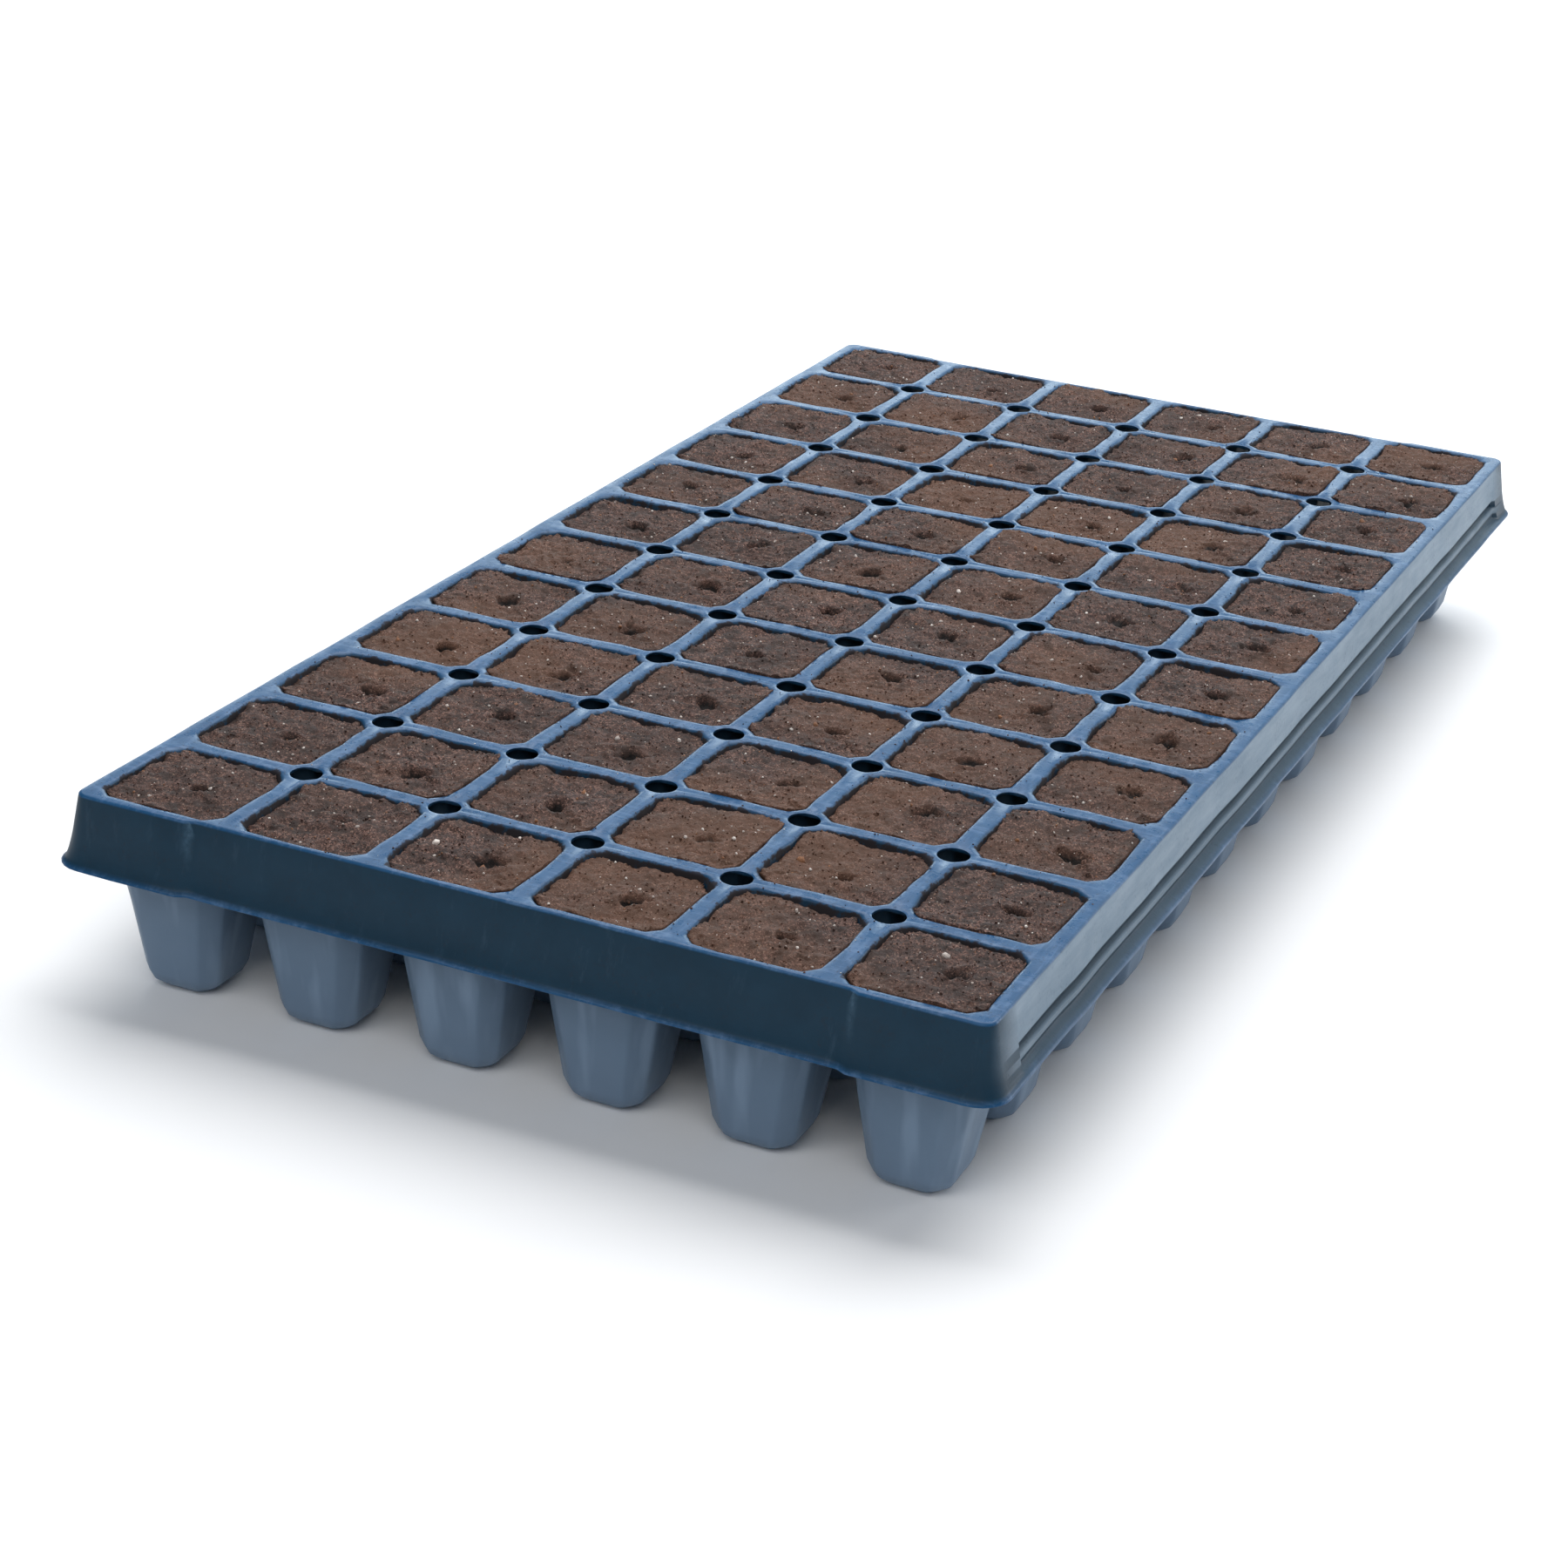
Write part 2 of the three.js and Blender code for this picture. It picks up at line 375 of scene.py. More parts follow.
class Surface:
    """The moulded side of the sheet as it grows, ring by ring. Each point is marked with how far
    the sheet is drawn out, which also paints light from below on the cups; how much medium sticks
    to it, which also paints shade inside the cells; how worn it is and how far it is painted as
    lit on top and shaded on its sides; and how much painted silvery sheen it gets."""

    def __init__(self):
        self.points, self.faces, self.count = [], [], 0
        self.marks = {"drawn": [], "dust": [], "worn": [], "scuffed": []}

    def add_ring(self, ring, **marks):
        """Adds a ring, with each mark as one value or one for each point."""
        self.points.append(ring)
        self.count += len(ring)
        for key, values in self.marks.items():
            values.append(np.broadcast_to(marks[key], len(ring)))

    def join(self, inwards):
        """Joins the last two rings by quads; the second ring is inside the first or outside it."""
        number = len(self.points[-1])
        here = np.arange(self.count - number, self.count)
        after = np.roll(here, -1)
        low, low_after = here - number, after - number
        quads = [low, low_after, after, here] if inwards else [low, here, after, low_after]
        self.faces.append(np.column_stack(quads))

    def welded(self):
        """The points, the quads and the marks, with the rings' shared points joined."""
        points = np.concatenate(self.points)
        kept, faces = weld(points, np.concatenate(self.faces), MM / 1000)
        marks = {key: np.concatenate(values)[kept] for key, values in self.marks.items()}
        return points[kept], faces, marks


# from the edge of a cell's patch of deck, over its shoulder and down its wall; the last value
# goes for the rings below it too
# medium stuck to the sheet, rising to 1 down the cell's wall, where its stain is also painted shade
PATCH_DUST = [0.35, 0.5, 0.7, 0.8, 0.88, 1.0, 1.0, 1.0, 0.5]
# 1 on the deck's top, fading to 0 over the shoulder: where the sheet is worn, and where it is
# painted as lit, with the walls below painted as shaded
PATCH_WEAR = [1.0, 1.0, 1.0, 0.9, 0.5, 0.1, 0.0]


def cell_patch(x, y, rings):
    """One cell with the deck round it, as rings of points, and the points of its outer ring that
    are on the cell grid's rectangle."""
    holed, whole = vented_edge(), whole_edge()
    vent_x = np.abs(x + np.sign(holed[:, 0]) * PITCH / 2) < GRID_HALF_X - TINY
    vent_y = np.abs(y + np.sign(holed[:, 1]) * PITCH / 2) < GRID_HALF_Y - TINY
    near_corner = np.arange(RING_POINTS) % QUARTER_POINTS < CORNER_POINTS
    vented = near_corner & vent_x & vent_y
    base = np.where(vented[:, None], holed, whole) + (x, y)
    outside = on_rim(base)
    flat = np.where(outside[:, None], on_outline(base, FLAT_END, FLAT_END), base)
    edge = np.column_stack([flat, DECK - np.where(vented, VENT_DIP, 0)])
    inner = [ring + (x, y, 0) for ring in rings]
    middle = (edge + inner[0]) / 2
    middle[:, 2] = DECK
    return [edge, middle, *inner], base[outside]


def skirt_levels():
    """The depth below the deck and the two outsets of each of the skirt's rings, from where the
    flat of the deck ends."""
    levels = [(0.0, FLAT_END, FLAT_END)]
    for step in (1, 2, 3):
        turn = step * math.pi / 6
        out = EDGE_RADIUS * (math.sin(turn) - 1)
        levels.append((EDGE_RADIUS * (1 - math.cos(turn)), out, out))
    return levels + [(depth * MM, end * MM, side * MM) for depth, end, side in SKIRT_PROFILE]


def skirt_scuffs(base, flat, depth):
    """How much painted silvery sheen the skirt's points get at that depth: only along the long
    sides, and there most of all above the groove and on the bead under it."""
    on_side = np.clip((GRID_HALF_Y - np.abs(base[:, 1])) / (16 * MM), 0, 1) * on_long_side(base)
    if EDGE_RADIUS * 0.9 < depth < 12 * MM:
        by_groove = 1.0
    else:
        by_groove = 0.6 if 14.5 * MM < depth < 16.4 * MM else 0.1
    near_end = np.interp(depth, [EDGE_RADIUS, 6 * MM, 12 * MM, 16 * MM], [0.1, 0.9, 0.7, 0.1])
    return on_side * np.where(np.abs(flat[:, 1]) < GROOVE_END_Y, by_groove, near_end)


def add_skirt(surface, base):
    """The skirt, from the deck's edge over its steps and its groove to the lip."""
    for level, (depth, end_out, side_out) in enumerate(skirt_levels()):
        flat = on_outline(base, end_out, side_out)
        # the rounded top edge and the flared lip are painted paler: wear, and a painted highlight
        # along them
        lip_wear = np.interp(depth, [19.0 * MM, 20.0 * MM], [0.0, 0.8])
        worn = 0.9 if depth < EDGE_RADIUS * 0.6 else lip_wear
        # painted silvery sheen on the long sides
        scuffed = skirt_scuffs(base, flat, depth)
        ring = level_ring(flat, DECK - depth)
        surface.add_ring(ring, drawn=0.0, dust=0.2, worn=worn, scuffed=scuffed)
        if level:
            surface.join(inwards=False)


def tray_surface():
    """The moulded side of the sheet: its points, quads and marks."""
    surface = Surface()
    rings = cell_rings()
    rim = []
    for _, _, x, y in cell_centres():
        patch, base = cell_patch(x, y, rings)
        rim.append(base)
        for level, ring in enumerate(patch):
            # the share of the depth below the deck, which also paints the cups lighter towards their
            # feet as painted light from below
            drawn = (DECK - ring[:, 2]) / DECK
            dust = PATCH_DUST[min(level, len(PATCH_DUST) - 1)]
            worn = PATCH_WEAR[min(level, len(PATCH_WEAR) - 1)]
            surface.add_ring(ring, drawn=drawn, dust=dust, worn=worn, scuffed=0.0)
            if level:
                surface.join(inwards=True)
    base = np.unique(np.round(np.concatenate(rim) / TINY).astype(np.int64), axis=0) * TINY
    add_skirt(surface, base[np.argsort(np.arctan2(base[:, 1], base[:, 0]))])
    return surface.welded()


# how far the sheet strays, in mm across, along and up, and the size of its waves and ripples
WANDER, WANDER_SIZE = (0.25, 0.25, 0.12), 17 * MM
RIPPLE, RIPPLE_SIZE = (0.60, 0.60, 0.12), 6 * MM
FOOT_LEVEL = 12 * MM


def waves(points, size, seeds):
    """Smooth noise in three directions."""
    return np.column_stack([smooth_noise(points, size, seed) for seed in seeds])


def warp(points, dust):
    """How far each point strays from its drawn place: slow waves, and ripples at the mouths of
    the cells, where medium sticks. The feet stay level, since they stand on the floor."""
    near_mouth = np.clip(dust * 3 - 1.2, 0, 1)[:, None]
    moved = waves(points, WANDER_SIZE, (11, 12, 13)) * WANDER * MM
    moved += waves(points, RIPPLE_SIZE, (14, 15, 16)) * near_mouth * RIPPLE * MM
    moved[:, 2] *= np.clip(points[:, 2] / FOOT_LEVEL - 0.5, 0, 1)
    return moved


def bake_modifiers(made):
    """Puts the object's modifiers into its mesh."""
    graph = bpy.context.evaluated_depsgraph_get()
    mesh = bpy.data.meshes.new_from_object(made.evaluated_get(graph))
    made.modifiers.clear()
    made.data = mesh


def tray_shell():
    """The tray: the moulded surface, thickened downwards into one closed shell."""
    points, faces, marks = tray_surface()
    made = mesh_object("tray_shell", points + warp(points, marks["dust"]), [faces], marks)
    shell = made.modifiers.new("sheet", "SOLIDIFY")
    shell.thickness = SHEET
    shell.offset = -1
    bake_modifiers(made)
    is_under = np.arange(len(made.data.vertices)) >= len(points)
    under = made.data.attributes.new("under", "FLOAT", "POINT")
    under.data.foreach_set("value", is_under.astype(np.float32))
    made.data.set_sharp_from_angle(angle=SHARP_BEND)
    made.data.materials.append(plastic_material())
    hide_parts("tray")
    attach(made, "tray")


# ---- the growing medium ----

def plug_template():
    """A closed block of quads with a fine top: points (u, v, w), with u and v from -1 to 1 across
    it, and w from 0 at its bottom to 1 at its top."""
    ticks = np.linspace(-1, 1, PLUG_GRID + 1)
    layers = np.linspace(0, 1, PLUG_LAYERS + 1)
    sheets = [
        [(u, v, 1.0) for v in ticks for u in ticks],
        [(-u, v, 0.0) for v in ticks for u in ticks],
        [(u, -1.0, w) for w in layers for u in ticks],
        [(-u, 1.0, w) for w in layers for u in ticks],
        [(1.0, u, w) for w in layers for u in ticks],
        [(-1.0, -u, w) for w in layers for u in ticks],
    ]
    width = PLUG_GRID + 1
    points, faces, count = [], [], 0
    for sheet in sheets:
        rows = len(sheet) // width
        for row in range(rows - 1):
            start = count + row * width + np.arange(PLUG_GRID)
            faces.append(np.column_stack([start, start + 1, start + width + 1, start + width]))
        points += sheet
        count += len(sheet)
    points = np.array(points)
    kept, faces = weld(points, np.concatenate(faces), 1e-6)
    return points[kept], faces


def grain_template():
    """An icosahedron: the start of every grain of perlite, bark and soil."""
    golden = (1 + math.sqrt(5)) / 2
    edge = 2
    points = []
    for a, b in itertools.product((-1, 1), (-golden, golden)):
        points += [(0, a, b), (a, b, 0), (b, 0, a)]
    points = np.array(points, float)
    faces = []
    for trio in itertools.combinations(range(len(points)), 3):
        p, q, r = points[list(trio)]
        sides = [np.linalg.norm(p - q), np.linalg.norm(q - r), np.linalg.norm(r - p)]
        if max(sides) < edge * 1.005:
            outward = np.dot(np.cross(q - p, r - p), p + q + r) > 0
            faces.append(trio if outward else trio[::-1])
    return points / np.linalg.norm(points[0]), np.array(faces)


PLUG_POINTS, PLUG_FACES = plug_template()
GRAIN_POINTS, GRAIN_FACES = grain_template()

# across each plug, reach goes from 0 in its middle to 1 at its sides, and lean from 1 in the
# middle of a side to 2 at a corner
U, V, W = PLUG_POINTS.T
REACH = np.maximum(np.abs(U), np.abs(V))
LEAN = (np.abs(U) + np.abs(V)) / np.maximum(REACH, 1e-9)
ON_TOP = W > 0.99


def turn_matrix(rng):
    """A random rotation."""
    basis, _ = np.linalg.qr(rng.normal(size=(3, 3)))
    return basis * np.sign(np.linalg.det(basis))


def grains(rng, places, sizes, flatness):
    """Rough grains at those places, as points and triangles."""
    points, faces = [], []
    number = len(GRAIN_POINTS)
    for index, (place, size) in enumerate(zip(places, sizes)):
        stretch = size * np.array((1, rng.uniform(0.6, 1), rng.uniform(flatness, 1)))
        shape = GRAIN_POINTS * (1 + rng.uniform(-0.28, 0.28, (number, 1))) * stretch
        points.append(shape @ turn_matrix(rng) + place)
        faces.append(GRAIN_FACES + number * index)
    return np.concatenate(points), np.concatenate(faces)


def seed_hollow(rng, flat, seed):
    """The hollow left for a seed, near the middle of the top: how deep in it each point is, and
    how far up its raised rim, both from 0 to 1."""
    middle = rng.uniform(-0.17, 0.17, 2) + (0.22, -0.09)
    size = rng.uniform(0.12, 0.18)
    away = np.hypot(U - middle[0], (V - middle[1]) * rng.uniform(0.9, 1.3))
    away *= 1 + 0.45 * smooth_noise(flat, 2.2 * MM, seed + 4)
    return np.exp(-((away / size) ** 4)), np.exp(-(((away - size * 1.7) / 0.09) ** 2))


def ragged_edge(flat, seed):
    """How far the top rises towards its near and right sides, and falls raggedly towards its far
    and left ones, but less at the corners."""
    at_corner = np.clip((LEAN - 1.6) / 0.3, 0, 1)
    fall = np.clip((REACH - 0.80) / 0.20, 0, 1) ** 2 * (1 - 0.7 * at_corner)
    ragged = 1 + smooth_noise(flat, 5 * MM, seed + 5)
    far_left = np.clip(np.maximum(V, -U) * REACH, 0, 1)
    near_right = np.clip(np.maximum(-V, U) * REACH, 0, 1)
    return fall * (0.35 * near_right - 0.7 * ragged * far_left) * MM


def plug_top(rng, x, y, row, seed):
    """The height of a plug's top at each point, and how deep in the seed's hollow the point is."""
    half = MOUTH_HALF - PLUG_GAP
    flat = np.column_stack([U * half + x, V * half + y, np.zeros(len(U))])
    level = DECK - TOP_DROP + ROW_RISE * row - rng.uniform(-0.3, 0.3) * MM
    slope = rng.uniform(-0.5, 0.5, 2) * MM
    top = level + slope[0] * U + slope[1] * V
    top += smooth_noise(flat, 9 * MM, seed + 1) * 0.65 * MM
    top += smooth_noise(flat, 3.2 * MM, seed + 2) * 0.5 * MM
    top += np.abs(smooth_noise(flat, 1.5 * MM, seed + 3)) * 0.5 * MM
    top += rng.uniform(-0.28, 0.28, len(U)) * MM
    hollow, rim = seed_hollow(rng, flat, seed)
    top -= hollow * rng.uniform(2.4, 3.8) * MM
    top += rim * 0.5 * MM
    return top + ragged_edge(flat, seed), hollow


def plug_points(rng, x, y, top, seed):
    """A plug's points: down from its top, its sides follow the cell's mouth, wall and foot."""
    bottom = PLUG_LOW.z + np.clip((REACH - 0.3) / 0.7, 0, 1) ** 3 * BOTTOM_CURL
    z = bottom + (top - bottom) * W
    drop = np.clip((DECK - z) / SHOULDER_RADIUS, 0, 1 - math.cos(BEND))
    flare = 0.5 * SHOULDER_RADIUS * (math.tan(BEND / 2) - np.sin(np.arccos(1 - drop)))
    in_mouth = DECK - z < SHOULDER_RADIUS / 2
    half = MOUTH_HALF - PLUG_GAP + np.where(in_mouth, flare, (z - DECK) * DRAW_IN)
    foot = np.clip((z - PLUG_LOW.z) / FOOT_RADIUS, 0, 1)
    half -= FOOT_RADIUS * (1 - np.sqrt(1 - (1 - foot) ** 2)) * 0.9
    corner_cut = 0.19 + 0.14 * np.clip((DECK - z) / (4 * MM), 0, 1)
    cut = np.minimum(1, (2 - corner_cut) / np.maximum(LEAN, 1))
    side = np.column_stack([U * half + x, V * half + y, z])
    pits = smooth_noise(side, 2.4 * MM, seed + 6) + smooth_noise(side, 6 * MM, seed + 7)
    pitted = 0.22 * np.clip(pits, 0, 2) + rng.uniform(0, 0.10, len(U))
    near_side = np.clip(REACH * 12 - 11, 0, 1)
    scale = (half - near_side * pitted * MM) * cut
    return np.column_stack([x + U * scale, y + V * scale, z])


class Plug:
    """A plug of medium, and the grains on it. Each point is marked with how much it is perlite,
    bark or hollow."""

    def __init__(self, x, y, row, seed):
        self.rng = np.random.default_rng(seed)
        top, hollow = plug_top(self.rng, x, y, row, seed)
        self.points = plug_points(self.rng, x, y, top, seed)
        self.faces = [PLUG_FACES]
        plain = np.zeros(len(U))
        self.marks = {"perlite": plain, "bark": plain, "hollow": hollow * ON_TOP}

    def lay(self, spots, sizes, flatness, kind):
        """Lays a grain of each size on a point of the plug."""
        lift = np.column_stack([np.zeros((len(spots), 2)), sizes * 0.05])
        made, triangles = grains(self.rng, self.points[spots] + lift, sizes, flatness)
        self.faces.append(triangles + len(self.points))
        self.points = np.concatenate([self.points, made])
        tone = np.repeat(self.rng.uniform(0.55, 1, len(spots)), len(GRAIN_POINTS))
        for key, values in self.marks.items():
            self.marks[key] = np.concatenate([values, tone * (key == kind)])

    def scatter(self, number, smallest, largest, flatness, kind, spread=0.93):
        """Scatters grains, most of them small, over the top, out to that share of its width."""
        surface = np.flatnonzero(ON_TOP & (REACH < spread))
        spots = self.rng.choice(surface, number, replace=False)
        sizes = smallest + (largest - smallest) * self.rng.random(number) ** 2.5
        self.lay(spots, sizes, flatness, kind)


def soil_plug(x, y, row, cell):
    """One plug, with soil, perlite and bark on its top, and the large bits that the photo shows."""
    plug = Plug(x, y, row, 1000 * row + 37 * cell)
    rng = plug.rng
    plug.scatter(260, 0.15 * MM, 0.50 * MM, 0.5, "soil", 0.99)
    plug.scatter(int(rng.integers(14, 28)), 0.18 * MM, 0.58 * MM, 0.5, "perlite")
    plug.scatter(int(rng.integers(8, 18)), 0.20 * MM, 0.58 * MM, 0.3, "bark")
    if rng.random() < 0.35:
        plug.scatter(2, 0.6 * MM, 1.0 * MM, 0.5, "perlite", 0.7)
    if rng.random() < 0.2:
        plug.scatter(1, 0.8 * MM, 1.5 * MM, 0.3, "bark", 0.7)
    for bit_row, bit_cell, place, size, kind in LARGE_BITS:
        if (bit_row, bit_cell) == (row, cell):
            away = np.where(ON_TOP, np.hypot(U - place[0], V - place[1]), np.inf)
            spots = np.argmin(away) + np.array([0, 1, 2])
            plug.lay(spots, size * np.array([1.0, 0.7, 0.5]), 0.5, kind)
    return plug


def plug_object(name, cells, nodes, body):
    """One visual piece from one or more plugs."""
    points, faces, marks, count = [], [], {}, 0
    for row, cell, x, y in cells:
        plug = soil_plug(x, y, row, cell)
        faces += [patch + count for patch in plug.faces]
        points.append(plug.points)
        count += len(plug.points)
        for key, values in plug.marks.items():
            marks.setdefault(key, []).append(values)
    marks = {key: np.concatenate(values) for key, values in marks.items()}
    piece = mesh_object(name, np.concatenate(points), faces, marks)
    piece.data.materials.append(MEDIUM)
    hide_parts(*nodes)
    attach(piece, body)


def all_plugs():
    """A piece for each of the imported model's nodes of medium: one plug, or a row tied together."""
    rows = {}
    for place in cell_centres():
        rows.setdefault(place[0], []).append(place)
    for row, cells in rows.items():
        tied = f"plugs_row{row}"
        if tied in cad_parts:
            plug_object(f"medium_row{row}", cells, [tied], tied)
            continue
        for place in cells:
            node = f"plug_row{row}_cell{place[1]}"
            plug_object(f"medium_row{row}_cell{place[1]}", [place], [node], node)


def spilt_crumbs():
    """Crumbs of medium left on the deck, mostly along the edges of the cells."""
    rng = np.random.default_rng(77)
    places, sizes = [], []
    for _, _, x, y in cell_centres():
        for _ in range(rng.integers(8, 20)):
            along = rng.uniform(-17, 17) * MM
            off = MOUTH_HALF + (0.7 + 2.0 * rng.random() ** 1.6) * MM
            turn = rng.integers(4) * math.pi / 2
            cos, sin = math.cos(turn), math.sin(turn)
            size = (0.10 + 0.30 * rng.random() ** 3) * MM
            places.append((
                x + off * cos - along * sin,
                y + off * sin + along * cos,
                DECK + size * 0.1,
            ))
            sizes.append(size)
    places, sizes = np.array(places), np.array(sizes)
    inside = np.abs(places[:, 0]) < DECK_HALF_X - MM
    inside &= np.abs(places[:, 1]) < DECK_HALF_Y - 2 * MM
    places, sizes = places[inside], sizes[inside]
    points, faces = grains(rng, places, sizes, 0.4)
    light = np.repeat((rng.random(len(places)) < 0.06) * 1.0, len(GRAIN_POINTS))
    marks = {"perlite": light, "bark": np.zeros(len(points)), "hollow": np.zeros(len(points))}
    made = mesh_object("spilt_crumbs", points, [faces], marks)
    made.data.materials.append(MEDIUM)
    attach(made, "tray")


# ---- materials ----

class Nodes:
    """A short way to write a material's nodes. A value is a number, a colour or a socket."""

    def __init__(self, name):
        self.material = bpy.data.materials.new(name)
        self.material.use_nodes = True
        self.tree = self.material.node_tree
        self.shader = self.tree.nodes["Principled BSDF"]
        self.place = self.add("ShaderNodeTexCoord").outputs["Object"]
        split = self.add("ShaderNodeSeparateXYZ")
        self.link(self.place, split.inputs[0])
        self.across, self.along, self.height = split.outputs

    def add(self, kind, **settings):
        node = self.tree.nodes.new(kind)
        for key, value in settings.items():
            setattr(node, key, value)
        return node

    def link(self, value, socket):
        if isinstance(value, (int, float, tuple)):
            socket.default_value = value
        else:
            self.tree.links.new(value, socket)

    def noise(self, scale, detail, roughness, place=None):
        """Noise with that many features to the metre, from 0 to 1 and mostly near 0.5."""
        node = self.add("ShaderNodeTexNoise")
        self.link(place or self.place, node.inputs["Vector"])
        node.inputs["Scale"].default_value = scale
        node.inputs["Detail"].default_value = detail
        node.inputs["Roughness"].default_value = roughness
        return node.outputs["Fac"]

    def cells(self, scale, bend, output):
        """Patches, so many to the metre, with outlines bent by up to so many metres: a random
        colour for each of them, or the distance from its middle."""
        wander = self.add("ShaderNodeTexNoise")
        self.link(self.place, wander.inputs["Vector"])
        wander.inputs["Scale"].default_value = scale
        shift = self.add("ShaderNodeVectorMath", operation="MULTIPLY_ADD")
        self.link(wander.outputs["Color"], shift.inputs[0])
        shift.inputs[1].default_value = (bend, bend, bend)
        self.link(self.place, shift.inputs[2])
        node = self.add("ShaderNodeTexVoronoi")
        self.link(shift.outputs["Vector"], node.inputs["Vector"])
        node.inputs["Scale"].default_value = scale
        return node.outputs[output]

    def stretched(self, scale):
        """Places for a noise whose features are longer where the scale is smaller."""
        node = self.add("ShaderNodeMapping")
        self.link(self.place, node.inputs["Vector"])
        node.inputs["Scale"].default_value = scale
        return node.outputs["Vector"]

    def mark(self, name):
        """One of the mesh's marks."""
        return self.add("ShaderNodeAttribute", attribute_name=name).outputs["Fac"]

    def ramp(self, value, *stops):
        """Greys or colours between stops, each with its position."""
        node = self.add("ShaderNodeValToRGB")
        self.link(value, node.inputs["Fac"])
        elements = node.color_ramp.elements
        while len(elements) < len(stops):
            elements.new(0.5)
        for element, (position, colour) in zip(elements, stops):
            rgb = colour if isinstance(colour, tuple) else (colour, colour, colour)
            element.position = position
            element.color = (*rgb, 1)
        return node.outputs["Color"]

    def mix(self, share, a, b):
        """From a to b by that share."""
        node = self.add("ShaderNodeMix", data_type="RGBA")
        self.link(share, node.inputs[0])
        self.link((*a, 1) if isinstance(a, tuple) else a, node.inputs[6])
        self.link((*b, 1) if isinstance(b, tuple) else b, node.inputs[7])
        return node.outputs[2]

    def math(self, operation, a, b=0.0, clamp=False):
        node = self.add("ShaderNodeMath", operation=operation, use_clamp=clamp)
        self.link(a, node.inputs[0])
        self.link(b, node.inputs[1])
        return node.outputs[0]

    def times(self, *values):
        """The product of the values."""
        product = values[0]
        for value in values[1:]:
            product = self.math("MULTIPLY", product, value)
        return product

    def bump(self, height, strength, distance, normal=None):
        """A normal that follows the height, over the one that is given."""
        node = self.add("ShaderNodeBump")
        self.link(height, node.inputs["Height"])
        node.inputs["Strength"].default_value = strength
        node.inputs["Distance"].default_value = distance
        if normal:
            self.link(normal, node.inputs["Normal"])
        return node.outputs["Normal"]

    def finish(self, colour, roughness, normal, specular):
        """The finished material."""
        self.link(colour, self.shader.inputs["Base Color"])
        self.link(roughness, self.shader.inputs["Roughness"])
        self.link(normal, self.shader.inputs["Normal"])
        self.shader.inputs["Specular IOR Level"].default_value = specular
        return self.material


# the plastic's colours, linear; a pair is the two ends of its mottling
# the sheet's sides and walls: its blue darkened as painted shade
NAVY = (0.003, 0.023, 0.044), (0.005, 0.031, 0.058)
# the deck's top: paler where it is worn, and painted as lit
WORN_BLUE = (0.008, 0.061, 0.154), (0.016, 0.083, 0.194)
# the cups: greyer where drawn thin, and lighter as painted light from below
THIN_SHEET = (0.072, 0.115, 0.170), (0.100, 0.150, 0.212)
# the cups' feet: painted light from below
THINNEST_SHEET = (0.16, 0.23, 0.32)
# pale vertical streaks on the cups: painted highlight bands
THIN_STREAKS = (0.20, 0.28, 0.38)
FAINT_STREAKS = (0.13, 0.20, 0.29)
# painted silvery sheen along the long sides
BRUSHED = (0.135, 0.200, 0.265), (0.200, 0.270, 0.340)
# painted highlight down the steps in the ends
CREASE = (0.06, 0.12, 0.18)
RUBBED = (0.13, 0.22, 0.36)
SCUFFED = (0.09, 0.17, 0.31)
# medium stuck to the sheet; inside the cells it is also painted shade
STUCK_MEDIUM = (0.026, 0.0175, 0.0145)

# the medium's colours, linear
CRUMBS = [
    (0.0, (0.012, 0.0060, 0.0047)),
    (0.35, (0.033, 0.0158, 0.0120)),
    (0.78, (0.088, 0.0430, 0.0325)),
    (1.0, (0.260, 0.1450, 0.1120)),
]
FIBRES = (0.135, 0.072, 0.055)
CLUMPS = (0.017, 0.0105, 0.0088)
DAMP = (0.036, 0.0205, 0.0165)
REDDISH = (0.120, 0.054, 0.027)
FLECKS = (0.27, 0.17, 0.12)
# painted shade in the seed's hollow
SEED_HOLLOW = (0.0045, 0.0032, 0.0030)
PERLITE = (0.44, 0.35, 0.30), (0.80, 0.74, 0.68)
BARK = (0.16, 0.066, 0.030), (0.36, 0.170, 0.085)


def cup_tint(n, base, under):
    """The outside of the cells: greyer the more the sheet is drawn out and lighter towards their
    feet as painted light from below, with painted highlight streaks down it.
    """
    thin = n.ramp(n.noise(34, 4, 0.6), (0.3, THIN_SHEET[0]), (0.7, THIN_SHEET[1]))
    drawn = n.math("MULTIPLY", n.mark("drawn"), 2.4, clamp=True)
    # painted light from below, rising down the cups
    base = n.mix(n.times(drawn, under), base, thin)
    deep = n.times(n.mark("drawn"), n.mark("drawn"))
    base = n.mix(n.times(deep, under), base, THINNEST_SHEET)
    # painted highlight bands down the cups
    streaks = n.ramp(n.noise(150, 2, 0.5, n.stretched((1, 1, 0.04))), (0.50, 0.0), (0.68, 0.55))
    return n.mix(n.times(streaks, drawn, under), base, THIN_STREAKS)


def side_brushing(n, base, above):
    """The long sides, painted silvery along their length: a painted sheen."""
    brushing = n.noise(60, 5, 0.7, n.stretched((3, 0.4, 3)))
    brushed = n.ramp(brushing, (0.35, BRUSHED[0]), (0.65, BRUSHED[1]))
    return n.mix(n.times(n.mark("scuffed"), above), base, brushed)


